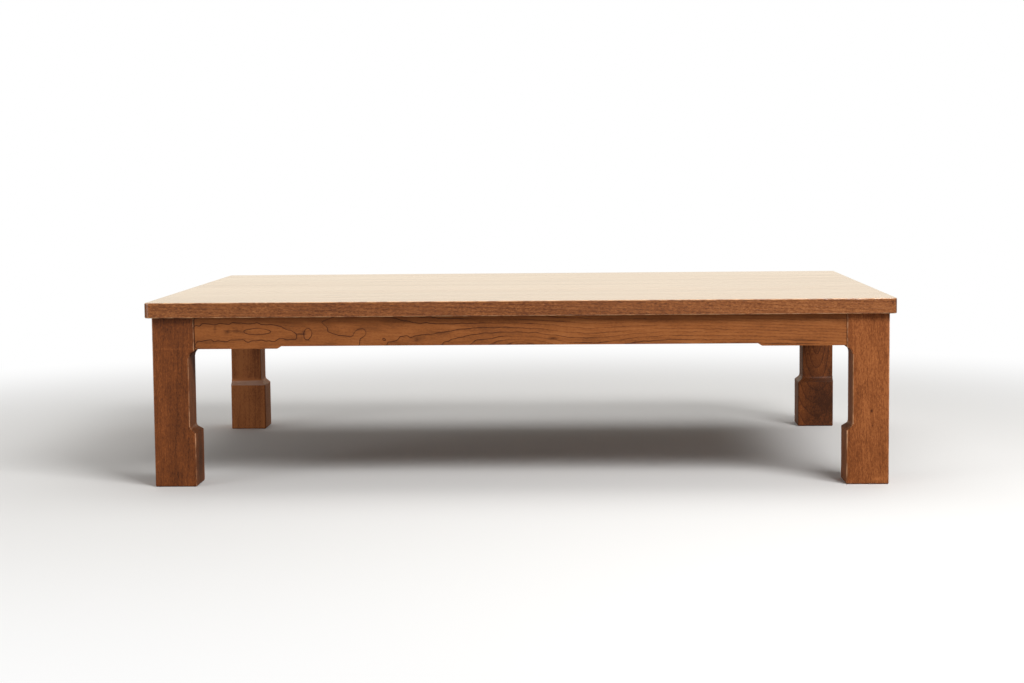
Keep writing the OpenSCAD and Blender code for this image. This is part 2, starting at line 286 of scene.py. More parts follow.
def add_object(name: str, data: bpy.types.ID) -> bpy.types.Object:
    """Adds an object to the scene.

    Args:
        name: The object's name.
        data: Its mesh, lamp or camera.

    Returns:
        The object.
    """
    thing = bpy.data.objects.new(name, data)
    bpy.context.scene.collection.objects.link(thing)
    return thing


@functools.cache
def ring_count() -> Tree:
    """Builds the group that counts the year rings between a log's heart and a place.

    The pattern's X axis is the heart. A place is first moved a little by slow and by quick
    noise; its distance from the heart plus the swell, divided by the ring width, is the count.

    Returns:
        The group.
    """
    tree, bench, takes, gives = new_group(
        "ring_count",
        {"Place": ORIGIN, "Seed": 0.0, "Ring Width": 0.004, "Wander": 0.02, "Ripple": 0.002,
         "Swell": 0.0},
        "Count")
    moved = takes["Place"]
    for stretch, reach in (((1.3, 7.0, 7.0), "Wander"), ((55.0, 75.0, 75.0), "Ripple")):
        noise = bench.noise(takes["Place"], stretch, takes["Seed"], 1.0, colour=True)
        step = bench.scaled(bench.vector("SUBTRACT", noise, (0.5, 0.5, 0.5)), takes[reach])
        moved = bench.vector("ADD", moved, step)
    across = bench.vector("MULTIPLY", moved, (0.0, 1.0, 1.0))
    radius = bench.plus(bench.vector_value("LENGTH", across), takes["Swell"])
    bench.feed(gives["Count"], bench.math("DIVIDE", radius, takes["Ring Width"]))
    return tree


@functools.cache
def growth_line() -> Tree:
    """Builds the group that draws a line of equal thickness at each whole ring count.

    The count is given at the place and one step from it along X, Y and Z. The differences over
    the step are the count's slope; the part of it along the face's normal is taken away, so
    that the rest runs within the face. The distance of the count from a whole number, divided
    by the length of that slope, is the distance from the line in metres. Noise breaks the line
    up, and it is fainter where rings lie close together.

    Returns:
        The group.
    """
    tree, bench, takes, gives = new_group(
        "growth_line",
        {"Place": ORIGIN, "Seed": 0.0, "Facing": UPWARDS, "Count": 0.0, "Count X": 0.0,
         "Count Y": 0.0, "Count Z": 0.0, "Step": 0.0003, "Half Width": 0.0005},
        "Line")
    rises = [bench.minus(takes[f"Count {axis}"], takes["Count"]) for axis in "XYZ"]
    rise = bench.put("ShaderNodeCombineXYZ", dict(enumerate(rises))).outputs[0]
    outward = bench.vector_value("DOT_PRODUCT", rise, takes["Facing"])
    within = bench.vector("SUBTRACT", rise, bench.scaled(takes["Facing"], outward))
    slope = bench.math("DIVIDE", bench.vector_value("LENGTH", within), takes["Step"])
    part = bench.math("FRACT", bench.plus(takes["Count"], 0.5))
    off = bench.math("ABSOLUTE", bench.minus(part, 0.5))
    away = bench.math("DIVIDE", off, bench.math("MAXIMUM", slope, 1.0))
    widths = bench.math("DIVIDE", away, takes["Half Width"])
    patches = bench.noise(takes["Place"], (9.0, 45.0, 45.0), bench.plus(takes["Seed"], 3.1), 2.0)
    kept = bench.times(bench.ramp(patches, 0.36, 0.56, 0.42, 1.0),
                      bench.ramp(slope, 80.0, 190.0, 1.0, 0.22))
    bench.feed(gives["Line"], bench.times(bench.ramp(widths, 0.35, 1.45, 1.0, 0.0), kept))
    return tree


# The noises of the figure: waves per metre along the grain and across it, what is added to
# the seed, octaves, and how strong the finer octaves are.
FIGURE_NOISES = {
    "Broad": (14.0, 650.0, 5.3, 3.0, 0.6),
    "Fine": (45.0, 2300.0, 6.7, 2.0, 0.6),
    "Speckle": (210.0, 560.0, 7.9, 3.0, 0.75),
    "Pores": (170.0, 1900.0, 8.9, 1.0, 0.5),
    "Flecks": (130.0, 420.0, 11.3, 1.0, 0.5),
    "Blotch": (22.0, 55.0, 13.7, 3.0, 0.5),
    "Streaks": (6.0, 190.0, 15.1, 3.0, 0.5),
    "Bands": (1.6, 13.0, 17.1, 2.0, 0.5),
}


@functools.cache
def log_figure() -> Tree:
    """Builds the group that gives the figure of wood cut from a log, apart from its lines.

    The fraction of the ring count rises through each ring as late wood. Noise stretched along
    the grain gives fibre, broad and fine, and speckle, pores, flecks, blotches of stain,
    streaks and slow bands.

    Returns:
        The group.
    """
    tree, bench, takes, gives = new_group(
        "log_figure", {"Place": ORIGIN, "Seed": 0.0, "Count": 0.0},
        "Late Wood", "Fibre", "Speckle", "Pores", "Flecks", "Blotch", "Streaks", "Bands")
    count = takes["Count"]
    which = bench.plus(bench.math("FLOOR", count), takes["Seed"])
    year = bench.put("ShaderNodeTexWhiteNoise", {"W": which}, noise_dimensions="1D").outputs["Value"]
    rise = bench.math("POWER", bench.math("FRACT", count), 2.4)
    marks = {"Late Wood": bench.times(rise, bench.ramp(year, 0.0, 1.0, 0.45, 1.0))}
    for name, (along, across, shift, detail, rough) in FIGURE_NOISES.items():
        seed = bench.plus(takes["Seed"], shift)
        marks[name] = bench.noise(takes["Place"], (along, across, across), seed, detail, rough)
    marks["Fibre"] = bench.plus(bench.times(marks.pop("Broad"), 0.6),
                                bench.times(marks.pop("Fine"), 0.4))
    marks["Pores"] = bench.ramp(marks["Pores"], 0.60, 0.70)
    marks["Flecks"] = bench.ramp(marks["Flecks"], 0.54, 0.70)
    for name, mark in marks.items():
        bench.feed(gives[name], mark)
    return tree


@functools.cache
def arris_wear_and_highlight() -> Tree:
    """Builds the group that marks worn and highlit arrises, dusty and lit ledges, and undersides.

    On an eased arris the surface faces between two axes, so the product of two parts of its
    normal is large there and nothing on a flat face; on a corner all three parts are large. The
    arris mark is partly rubbed wear and partly a painted highlight along the arris. A ledge is
    where the normal points up and to the front; its mark is partly dust and partly painted light
    from the front. Noise breaks both marks up. An underside is where the normal points straight
    down.

    Returns:
        The group.
    """
    tree, bench, takes, gives = new_group(
        "arris_wear_and_highlight",
        {"Place": ORIGIN, "Facing": UPWARDS, "Upright": 1.0, "Level": 1.0, "Low": 1.0, "Seed": 0.0},
        "Wear And Highlight", "Ledge Dust And Light", "Under")
    signed = bench.put("ShaderNodeSeparateXYZ", {0: takes["Facing"]}).outputs
    parts = bench.put("ShaderNodeSeparateXYZ", {0: bench.vector("ABSOLUTE", takes["Facing"])}).outputs
    sideways = bench.math("MAXIMUM", parts["X"], parts["Y"])
    narrower = bench.math("MINIMUM", parts["X"], parts["Y"])
    upright = bench.times_plus(narrower, sideways, bench.math("MINIMUM", narrower, parts["Z"]))
    raised = bench.times(bench.math("MAXIMUM", signed["Z"], 0.0), takes["Level"])
    downward = bench.times(signed["Z"], -1.0)
    lowered = bench.times(bench.math("MAXIMUM", downward, 0.0), takes["Low"])
    level = bench.times(bench.plus(raised, lowered), sideways)
    mark = bench.times_plus(upright, takes["Upright"], level)
    patch_noise = bench.noise(takes["Place"], (45.0, 45.0, 45.0), takes["Seed"], 4.0, 0.65)
    patchy = bench.ramp(patch_noise, 0.38, 0.60, 0.15, 1.0)
    bench.feed(gives["Wear And Highlight"], bench.times(bench.ramp(mark, 0.08, 0.40), patchy))
    forward = bench.ramp(signed["Y"], -0.5, -0.2, 1.0, 0.0)
    ledge_dust_and_light = bench.times(bench.ramp(signed["Z"], 0.25, 0.60), forward)
    bench.feed(gives["Ledge Dust And Light"], bench.times(ledge_dust_and_light, bench.ramp(patch_noise, 0.30, 0.60, 0.70, 1.0)))
    bench.feed(gives["Under"], bench.ramp(signed["Z"], -0.98, -0.85, 1.0, 0.0))
    return tree


@functools.cache
def lacquer_film() -> Tree:
    """Builds the group that gives a wiped and used film of lacquer.

    Broad noise leaves duller patches, long thin noise leaves fine scratches along the grain,
    slow bands along the grain take some of the coat away, and a slight orange peel lifts the
    height.

    Returns:
        The group.
    """
    tree, bench, takes, gives = new_group(
        "lacquer_film",
        {"Place": ORIGIN, "Seed": 0.0, "Roughness": 0.3, "Spread": 0.1, "Coat": 0.5},
        "Roughness", "Coat", "Peel")
    smear = bench.noise(takes["Place"], (4.0, 11.0, 11.0), takes["Seed"], 3.0, 0.6)
    lines = bench.noise(takes["Place"], (9.0, 900.0, 900.0), takes["Seed"], 1.0)
    uneven = bench.plus(bench.minus(smear, 0.5), bench.ramp(lines, 0.62, 0.72, 0.0, 0.25))
    rough = bench.math("MULTIPLY_ADD", uneven, takes["Spread"], takes["Roughness"], clamp=True)
    bench.feed(gives["Roughness"], rough)
    thin = bench.noise(takes["Place"], (0.9, 13.0, 13.0), bench.plus(takes["Seed"], 2.2), 1.0)
    bench.feed(gives["Coat"], bench.times(takes["Coat"], bench.ramp(thin, 0.32, 0.66, 0.91, 1.0)))
    bench.feed(gives["Peel"], bench.noise(takes["Place"], (180.0, 260.0, 260.0), takes["Seed"], 2.0))
    return tree


@functools.cache
def swirl() -> Tree:
    """Builds the group that raises one round hill, where a branch pushed the rings aside.

    With d the place less the hill's centre, divided by its reach axis by axis, the hill is e
    to the power of minus d squared.

    Returns:
        The group.
    """
    tree, bench, takes, gives = new_group(
        "swirl",
        {"Place": ORIGIN, "Centre": ORIGIN, "Reach": (1.0, 1.0, 1.0)},
        "Hill")
    away = bench.vector("DIVIDE", bench.vector("SUBTRACT", takes["Place"], takes["Centre"]), takes["Reach"])
    squared = bench.vector_value("DOT_PRODUCT", away, away)
    bench.feed(gives["Hill"], bench.math("EXPONENT", bench.times(squared, -1.0)))
    return tree


@dataclass(frozen=True)
class Swirl:
    """One round hill on the wood's figure: its centre, its reach along each axis and its height."""

    centre: Point
    reach: Point
    height: float


def on_front(plane: float, *rows: tuple[float, float, float, float, float]) -> tuple[Swirl, ...]:
    """Sets hills on a front face; a row has X, Z, the reach along X and along Z, and the height."""
    return tuple(Swirl((x, plane, z), (along, INWARD_REACH, up), height)
                 for x, z, along, up, height in rows)


@functools.cache
def hills(name: str, swirls: tuple[Swirl, ...]) -> Tree:
    """Builds the group that adds up a set of hills.

    Args:
        name: The group's name.
        swirls: The hills.

    Returns:
        The group.
    """
    tree, bench, takes, gives = new_group(name, {"Place": ORIGIN}, "Sum")
    total: Feed = 0.0
    for bulge in swirls:
        hill = bench.group(swirl(), Place=takes["Place"], Centre=bulge.centre, Reach=bulge.reach)
        total = bench.times_plus(hill["Hill"], bulge.height, total)
    bench.feed(gives["Sum"], total)
    return tree


@dataclass(frozen=True)
class Cut:
    """How one piece was cut from its log, and the marks it carries.

    The heart is a point on the log's centre line as seen from the middle of the piece. The
    swirls push rings aside and are in metres; the stains darken the wood, or lighten it where
    their height is below nothing, and on some pieces they are painted shade and painted light.
    The figure multiplies the strength of the growth lines, and the dust is its share of the
    colour on ledges, which is partly dust and partly painted light. Streaky multiplies the
    strength of streaks, and rubbed that of worn upright arrises, whose worn colour is partly a
    painted highlight.
    """

    grain: GrainAxis
    seed: float
    heart: Point = ORIGIN
    lean: Point = ORIGIN
    ring_width: float = 0.0045
    pith: float = 0.0
    wander: float = 0.03
    ripple: float = 0.002
    tone: float = 0.0
    figure: float = 1.0
    dust_and_light: float = 0.0
    streaky: float = 1.0
    rubbed_and_highlit: float = 1.0
    swirls: tuple[Swirl, ...] = ()
    stains_and_painted_light: tuple[Swirl, ...] = ()


@dataclass(frozen=True)
class WoodFinish:
    """A wood and the way its surface is finished.

    The shade of a point starts at the middle and moves with the figure of the log; the colour
    ramp turns it into the stained wood's colour.
    """

    name: str
    dark: Colour
    middle: Colour
    light: Colour
    # The worn colour of rubbed arrises, which also stands in for a painted highlight along them.
    worn_and_highlit: Colour
    fibre: float = 0.5
    blotch: float = 0.5
    streaks: float = 0.25
    bands: float = 0.4
    late: float = 0.15
    line: float = 0.35
    line_width: float = 0.0011
    step: float = 0.0003
    speckle: float = 0.5
    pores: float = 0.12
    flecks: float = 0.10
    end_grain: float = 0.18
    # How strongly upright, upward and downward arrises take the worn colour: wear and painted highlight.
    wear_and_highlight_upright: float = 0.6
    wear_and_highlight_level: float = 0.6
    wear_and_highlight_low: float = 0.6
    roughness: float = 0.48
    spread: float = 0.2
    coat: float = 0.15
    coat_roughness: float = 0.25
    shine: float = 0.3
    relief: float = 0.00012
    relief_strength: float = 0.8
    fibre_relief: float = 0.35
    peel_relief: float = 0.4
    dark_at: float = 0.08
    light_at: float = 0.92
    # The colour of ledges: partly dust and partly painted light falling on them.
    dust_and_light: Colour = shown(212, 184, 168)
    bare: Colour = shown(128, 84, 50)
    bare_under: float = 0.0
    dull_under: float = 0.35

    def rings(self, bench: NodeBench, cut: Cut, heart: tuple, turn: tuple,
              here: Socket) -> tuple[Socket, list]:
        """Counts the rings at a place and one step from it along each axis.

        Args:
            bench: The material's bench.
            cut: How the piece was cut from its log.
            heart: A point on the log's centre line.
            turn: The turn that lays the pattern's X along that line.
            here: The place, in the piece's own coordinates.

        Returns:
            The place as the log has it, and the four counts.
        """
        places, counts = [], []
        for step in ((0, 0, 0), (self.step, 0, 0), (0, self.step, 0), (0, 0, self.step)):
            there = bench.vector("ADD", here, step)
            place = bench.put("ShaderNodeMapping", {"Vector": there, "Location": heart,
                              "Rotation": turn}, vector_type="TEXTURE").outputs[0]
            swell: Feed = -cut.pith
            if cut.swirls:
                group = hills(f"swirls_{cut.seed:.0f}", cut.swirls)
                swell = bench.plus(bench.group(group, Place=there)["Sum"], swell)
            places.append(place)
            counts.append(bench.group(ring_count(), Place=place, Seed=cut.seed, Swell=swell,
                                      Ring_Width=cut.ring_width, Wander=cut.wander,
                                      Ripple=cut.ripple)["Count"])
        return places[0], counts

    def shade(self, bench: NodeBench, cut: Cut, marks: Any, line: Socket) -> Feed:
        """Adds up how light the wood is at a place.

        It starts in the middle, at 0.5. A mark whose mean is 0.5 moves it both ways by its
        strength; a mark that starts from nothing only darkens it.

        Args:
            bench: The material's bench.
            cut: How the piece was cut from its log.
            marks: The outputs of the figure.
            line: The growth line.

        Returns:
            The shade, from dark at 0 to light at 1.
        """
        shade: Feed = 0.5 + cut.tone
        for name, strength in (("Fibre", self.fibre), ("Speckle", self.speckle),
                               ("Blotch", self.blotch), ("Streaks", self.streaks * cut.streaky),
                               ("Bands", self.bands)):
            swing = bench.minus(marks[name], 0.5)
            shade = bench.times_plus(swing, strength, shade)
        for mark, strength in ((marks["Late Wood"], self.late), (line, self.line * cut.figure),
                               (marks["Pores"], self.pores), (marks["Flecks"], self.flecks)):
            shade = bench.times_plus(mark, -strength, shade)
        return shade

    def stained(self, bench: NodeBench, shade: Feed) -> Socket:
        """Turns a shade into the stained wood's colour.

        Args:
            bench: The material's bench.
            shade: How light the wood is.

        Returns:
            The colour.
        """
        colours = bench.put("ShaderNodeValToRGB", {"Fac": shade})
        stops = colours.color_ramp.elements
        stops[0].position, stops[0].color = self.dark_at, self.dark
        stops[1].position, stops[1].color = self.light_at, self.light
        stops.new(0.5).color = self.middle
        return colours.outputs["Color"]

    def make(self, piece: str, cut: Cut, middle: Vector) -> bpy.types.Material:
        """Makes the material of one piece.

        Args:
            piece: The piece's name.
            cut: How the piece was cut from its log.
            middle: The middle of the piece.

        Returns:
            The material.
        """
        material, bench, surface = new_material(f"{self.name}_{piece}")
        where = bench.put("ShaderNodeTexCoord").outputs
        heart = tuple(m + h for m, h in zip(middle, cut.heart))
        turn = tuple(a + math.radians(b) for a, b in zip(cut.grain.value, cut.lean))
        place, counts = self.rings(bench, cut, heart, turn, where["Object"])
        line = bench.group(growth_line(), Place=place, Seed=cut.seed, Facing=where["Normal"],
                           Count=counts[0], Count_X=counts[1], Count_Y=counts[2], Count_Z=counts[3],
                           Step=self.step, Half_Width=self.line_width / 2)["Line"]
        marks = bench.group(log_figure(), Place=place, Seed=cut.seed, Count=counts[0])
        shade = self.shade(bench, cut, marks, line)
        # Stains darken or lighten the shade; on some pieces they are painted shade and painted light.
        if cut.stains_and_painted_light:
            stain_and_painted_light = bench.group(hills(f"stains_{piece}", cut.stains_and_painted_light), Place=where["Object"])["Sum"]
            shade = bench.minus(shade, stain_and_painted_light)
        along = Matrix.Rotation(turn[2], 3, "Z") @ Matrix.Rotation(turn[1], 3, "Y") @ Vector((1, 0, 0))
        end_on = bench.vector_value("DOT_PRODUCT", where["Normal"], tuple(along))
        facing_end = bench.math("POWER", end_on, 2.0)
        colour = self.stained(bench, bench.times_plus(facing_end, -self.end_grain, shade))
        # Arrises take the worn colour, which is partly rubbed wear and partly a painted highlight.
        wear_and_light_marks = bench.group(arris_wear_and_highlight(), Place=where["Object"], Facing=where["Normal"], Seed=cut.seed,
                           Upright=self.wear_and_highlight_upright * cut.rubbed_and_highlit, Level=self.wear_and_highlight_level,
                           Low=self.wear_and_highlight_low)
        colour = bench.mix(wear_and_light_marks["Wear And Highlight"], colour, self.worn_and_highlit)
        # Ledges take the dust colour, partly dust and partly painted light.
        if cut.dust_and_light > 0:
            colour = bench.mix(bench.times(wear_and_light_marks["Ledge Dust And Light"], cut.dust_and_light), colour, self.dust_and_light)
        film = bench.group(lacquer_film(), Place=place, Seed=cut.seed, Roughness=self.roughness,
                           Spread=self.spread, Coat=self.coat)
        coat: Feed = film["Coat"] if self.coat > 0 else 0.0
        rough = film["Roughness"]
        if self.bare_under > 0:
            coat = bench.times(coat, bench.minus(1.0, wear_and_light_marks["Under"]))
            rough = bench.times_plus(wear_and_light_marks["Under"], self.dull_under, rough)
            bare = bench.times(wear_and_light_marks["Under"], self.bare_under)
            colour = bench.mix(bare, colour, self.bare)
        peel = bench.times(film["Peel"], self.peel_relief)
        raised = bench.times_plus(marks["Fibre"], self.fibre_relief, peel)
        height = bench.times_plus(marks["Pores"], -1.0, raised)
        normal = bench.bump(height, self.relief, self.relief_strength)
        bench.feed_all(surface, {"Base Color": colour, "Roughness": rough, "Normal": normal,
                                 "Coat Weight": coat, "Coat Roughness": self.coat_roughness,
                                 "Specular IOR Level": self.shine})
        return material


@dataclass(frozen=True)
class ScrewMetal:
    """Yellow-passivated steel, with a faint play of colour and a dull, handled surface."""

    name: str = "passivated_steel"
    gold: Colour = shown(196, 164, 92)
    grey: Colour = shown(150, 146, 138)
    roughness: float = 0.34

    def make(self) -> bpy.types.Material:
        """Makes the material.

        Returns:
            The material.
        """
        material, bench, surface = new_material(self.name)
        place = bench.put("ShaderNodeTexCoord").outputs["Object"]
        play = bench.noise(place, (160.0, 160.0, 160.0), 2.0, 2.0)
        grime = bench.noise(place, (700.0, 700.0, 700.0), 5.0, 3.0)
        colour = bench.mix(bench.ramp(play, 0.35, 0.65), self.gold, self.grey)
        film = bench.group(lacquer_film(), Place=place, Seed=3.0, Roughness=self.roughness, Spread=0.5)
        bench.feed_all(surface, {"Base Color": colour, "Metallic": 1.0, "Roughness": film["Roughness"],
                                 "Normal": bench.bump(grime, 0.00004, 0.7)})
        return material


STAINED_TOP = WoodFinish(
    "glossy_top_wood", shown(84, 42, 20), shown(140, 82, 42), shown(180, 118, 68), shown(214, 164, 118),
    late=0.22, line=0.24, flecks=0.08, fibre=0.3, speckle=1.8, blotch=0.35, bands=0.5,
    wear_and_highlight_upright=0.25, wear_and_highlight_level=0.9, wear_and_highlight_low=0.9, roughness=0.27, spread=0.1,
    coat=1.0, coat_roughness=0.09, shine=0.5, relief=0.00001, bare_under=0.5)
STAINED_LEG = WoodFinish(
    "satin_leg_wood", shown(66, 33, 14), shown(127, 69, 31), shown(180, 110, 60), shown(208, 156, 116),
    late=0.10, line=0.10, blotch=0.42, streaks=0.22, speckle=1.0,
    wear_and_highlight_upright=0.62, wear_and_highlight_low=0.0, wear_and_highlight_level=0.0,
    roughness=0.52, coat=0.04, coat_roughness=0.4, shine=0.2)
STAINED_APRON = WoodFinish(
    "satin_apron_wood", shown(58, 27, 12), shown(144, 84, 40), shown(176, 112, 62), shown(180, 122, 72),
    fibre=0.45, blotch=0.45, streaks=0.45, late=0.10, line=0.60, line_width=0.0013, pores=0.08, flecks=0.05,
    speckle=0.5, wear_and_highlight_upright=0.0, roughness=0.5, coat=0.1, shine=0.2)
PLANED_WOOD = WoodFinish(
    "planed_wood", shown(120, 84, 50), shown(176, 132, 86), shown(208, 168, 120), shown(212, 176, 132),
    late=0.2, line=0.1, roughness=0.62, coat=0.0, wear_and_highlight_level=0.2, wear_and_highlight_upright=0.2, relief=0.0002)
TONGUE_WOOD = WoodFinish(
    "tongue_wood", shown(150, 114, 74), shown(198, 160, 112), shown(222, 190, 146), shown(224, 196, 156),
    late=0.1, line=0.05, roughness=0.66, coat=0.0, wear_and_highlight_level=0.0, wear_and_highlight_upright=0.0)


# The hills that shape the figure on the front apron, from its left end to its right.
APRON_SWIRLS = on_front(
    APRON_FACE,
    (-0.620, 0.2800, 0.1100, 0.0600, -0.0050),  # hollow at the left end
    (-0.560, 0.2520, 0.1200, 0.0120, -0.0045),  # hollow under the long eye
    (-0.520, 0.2850, 0.1000, 0.0150, 0.0055),   # long eye
    (-0.472, 0.2855, 0.0320, 0.0090, 0.0042),   # heart of the eye
    (-0.450, 0.3160, 0.2000, 0.0160, -0.0050),  # hollow along the upper edge
    (-0.384, 0.2825, 0.0062, 0.0085, 0.0044),   # knot
    (-0.375, 0.2700, 0.0800, 0.0220, 0.0045),   # rise under the knot
    (-0.320, 0.2900, 0.0240, 0.0120, -0.0032),  # hollow before the hook
    (-0.305, 0.2640, 0.0450, 0.0140, 0.0032),   # rise under the hook
    (-0.288, 0.2835, 0.0170, 0.0105, 0.0040),   # tip of the hook
    (-0.270, 0.3120, 0.0900, 0.0200, -0.0060),  # hollow over the hook
    (-0.180, 0.2750, 0.0800, 0.0250, 0.0036),   # rise before the arches
    (0.000, 0.2570, 0.0600, 0.0140, -0.0085),   # arches at the lower edge
    (0.002, 0.2580, 0.0110, 0.0060, -0.0055),   # innermost arch
    (0.130, 0.2750, 0.0900, 0.0300, 0.0070),    # rise behind the arches
)


def middle_of(node: str) -> Vector:
    """Gives the middle of a CAD node's box."""
    low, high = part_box(node)
    return (low + high) / 2


@dataclass
class Joinery:
    """Pieces that stay as the frame holds them: they get eased arrises and their wood."""

    finish: WoodFinish = PLANED_WOOD
    cuts: dict[str, Cut] = field(default_factory=dict)
    ease: float = 0.0006

    def ease_arrises(self, node: bpy.types.Object) -> None:
        """Joins the loose triangles into whole faces and rounds the sharp arrises.

        Args:
            node: The CAD node's object. Its own mesh isn't changed.
        """
        weld = node.modifiers.new("weld", "WELD")
        weld.merge_threshold = WELD_REACH
        whole = node.modifiers.new("whole_faces", "DECIMATE")
        whole.decimate_type = "DISSOLVE"
        whole.angle_limit = FLAT_ANGLE
        bevel = node.modifiers.new("eased_arris", "BEVEL")
        bevel.width = self.ease
        bevel.segments = 2
        bevel.limit_method = "ANGLE"
        bevel.angle_limit = SHARP_ANGLE
        bevel.harden_normals = True

    def build(self) -> None:
        """Dresses every piece and reports it."""
        for name, cut in self.cuts.items():
            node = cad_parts[name]
            if self.ease > 0:
                self.ease_arrises(node)
            node.material_slots[0].material = self.finish.make(name, cut, middle_of(name))
            LOG.info("%s: %s, grain %s", name, self.finish.name, cut.grain.name.lower())


@dataclass
class Screws:
    """Countersunk wood screws with a cross recess, cut as turned surfaces.

    A screw points along its own Z from the face of its head at 0. The corner is the frame's
    outer corner, as distances along X and Y from the middle of the table.
    """

    head_radius: float = 0.004
    head_height: float = 0.0024
    shank_radius: float = 0.002
    core_radius: float = 0.0014
    pitch: float = 0.0018
    tip_length: float = 0.004
    plain_length: float = 0.006
    slot_width: float = 0.0011
    slot_reach: float = 0.0024
    slot_depth: float = 0.0013
    slot_blur: float = 0.00008
    slot_end_blur: float = 0.0001
    slot_taper: float = 0.45
    sides: int = 40
    rows_a_turn: int = 6
    rim_drop: float = 0.00008
    thread_fade: float = 0.001
    thread_gap: float = 0.0002
    spin: float = 2.4
    corner: tuple[float, float] = (0.671, 0.442)

    def one(self, length: float) -> tuple[np.ndarray, np.ndarray]:
        """Works out one screw on a grid of rows along it and sides round it.

        The head's face falls by the recess, deepest along the two arms of a cross. The head
        tapers in a straight line to the shank. Along the thread the radius swings between
        core and shank as a triangle wave of the height less the turn times the pitch, and at
        the tip both fall to nothing.

        Args:
            length: From the face of the head to the tip.

        Returns:
            The points, and the faces as rows of four point numbers.
        """
        turn = np.linspace(0, 2 * np.pi, self.sides, endpoint=False)[None, :]
        face = np.linspace(0.02, 1.0, 15)[:, None] * self.head_radius * 0.97
        across = np.abs(np.minimum(np.abs(face * np.cos(turn)), np.abs(face * np.sin(turn))))
        arm = 1 / (1 + np.exp((across - self.slot_width / 2) / self.slot_blur))
        end = 1 / (1 + np.exp((face - self.slot_reach) / self.slot_end_blur))
        face_z = self.slot_depth * arm * end * (1 - self.slot_taper * face / self.slot_reach)
        cone = np.linspace(0.15, 1, 4)[:, None]
        cone_r = self.head_radius + (self.shank_radius - self.head_radius) * cone
        start = self.head_height + self.thread_gap
        n_heights = int((length - start) / self.pitch * self.rows_a_turn)
        height = np.linspace(start, length, n_heights)[:, None]
        wave = np.abs(2 * ((height / self.pitch - turn / (2 * np.pi)) % 1) - 1)
        grown = np.clip((height - self.head_height - self.plain_length) / self.thread_fade, 0, 1)
        thread = self.shank_radius - (self.shank_radius - self.core_radius) * grown * (1 - wave)
        point = np.clip((length - height) / self.tip_length, 0.03, 1)
        rows = [(face, face_z), (np.array([[self.head_radius]]), np.array([[self.rim_drop]])),
                (cone_r, self.head_height * cone), (thread * point, height)]
        radius, z = (np.concatenate([row[i] + 0 * turn for row in rows]) for i in (0, 1))
        points = np.stack([radius * np.cos(turn), radius * np.sin(turn), z], axis=-1)
        n_rows, n_sides = radius.shape
        here = np.arange(n_rows * n_sides).reshape(n_rows, n_sides)
        beside = np.roll(here, -1, axis=1)
        quads = np.stack([here[:-1], here[1:], beside[1:], beside[:-1]], axis=-1).reshape(-1, 4)
        flat = points.reshape(-1, 3)
        poles = np.array([[0, 0, face_z[0].mean()], [0, 0, length]])
        first, last = len(flat), len(flat) + 1
        top = np.stack([here[0], beside[0], 0 * here[0] + first, 0 * here[0] + first], axis=-1)
        tip = np.stack([beside[-1], here[-1], 0 * here[0] + last, 0 * here[0] + last], axis=-1)
        return np.concatenate([flat, poles]), np.concatenate([quads, top, tip])

    def many(self, name: str, length: float, places: np.ndarray, ways: np.ndarray,
             material: bpy.types.Material) -> bpy.types.Object:
        """Sets copies of one screw in place as a single piece.

        Each copy's points are the screw's own points times a frame whose third axis is the
        way that the screw points, plus its place.

        Args:
            name: The piece's name.
            length: Length of each screw.
            places: The middle of each head's face, one row a screw.
            ways: The direction in which each screw points, one row a screw.
            material: The metal.

        Returns:
            The piece.
        """
        points, faces = self.one(length)
        third = ways / np.linalg.norm(ways, axis=1, keepdims=True)
        helper = np.where(np.abs(third[:, 2:3]) > 0.9, [[1.0, 0.0, 0.0]], [[0.0, 0.0, 1.0]])
        first = np.cross(helper, third)
        first /= np.linalg.norm(first, axis=1, keepdims=True)
        second = np.cross(third, first)
        spin = np.arange(len(places)) * self.spin
        cos, sin = np.cos(spin)[:, None], np.sin(spin)[:, None]
        turned_first, turned_second = cos * first + sin * second, cos * second - sin * first
        frames = np.stack([turned_first, turned_second, third], axis=1)
        set_points = (np.einsum("pk,nkj->npj", points, frames) + places[:, None, :]).reshape(-1, 3)
        shift = (np.arange(len(places)) * len(points))[:, None, None]
        set_faces = (faces[None] + shift).reshape(-1, 4)
        mesh = bpy.data.meshes.new(name)
        rows = [row[:3] if row[2] == row[3] else row for row in set_faces.tolist()]
        mesh.from_pydata(set_points.tolist(), [], rows)
        mesh.polygons.foreach_set("use_smooth", np.ones(len(mesh.polygons), bool))
        mesh.materials.append(material)
        mesh.validate()
        return add_object(name, mesh)


@dataclass
class BraceScrews(Screws):
    """The sixteen screws that hold the corner braces, two into each apron at each corner."""

    length: float = 0.023
    along: float = 0.14635
    depth: float = 0.0365
    heights: tuple[float, float] = (0.2805, 0.2995)

    def build(self, material: bpy.types.Material) -> None:
        """Makes the piece in the place of its CAD node.

        At each corner one pair stands at the corner's distances (along, depth) and points
        towards the long apron, and one at (depth, along) towards the short apron.

        Args:
            material: The metal.
        """
        side, row, swap, z = (g.ravel() for g in np.meshgrid(
            [-1.0, 1.0], [-1.0, 1.0], [0.0, 1.0], self.heights, indexing="ij"))
        in_x = np.where(swap > 0, self.depth, self.along)
        in_y = np.where(swap > 0, self.along, self.depth)
        places = np.stack([side * (self.corner[0] - in_x), row * (self.corner[1] - in_y), z], axis=-1)
        ways = np.stack([side * swap, row * (1 - swap), 0 * z], axis=-1)
        piece = self.many("threaded_brace_screws", self.length, places, ways, material)
        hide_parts("brace_screws")
        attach(piece, "root")
        LOG.info("%s: %d screws", piece.name, len(places))


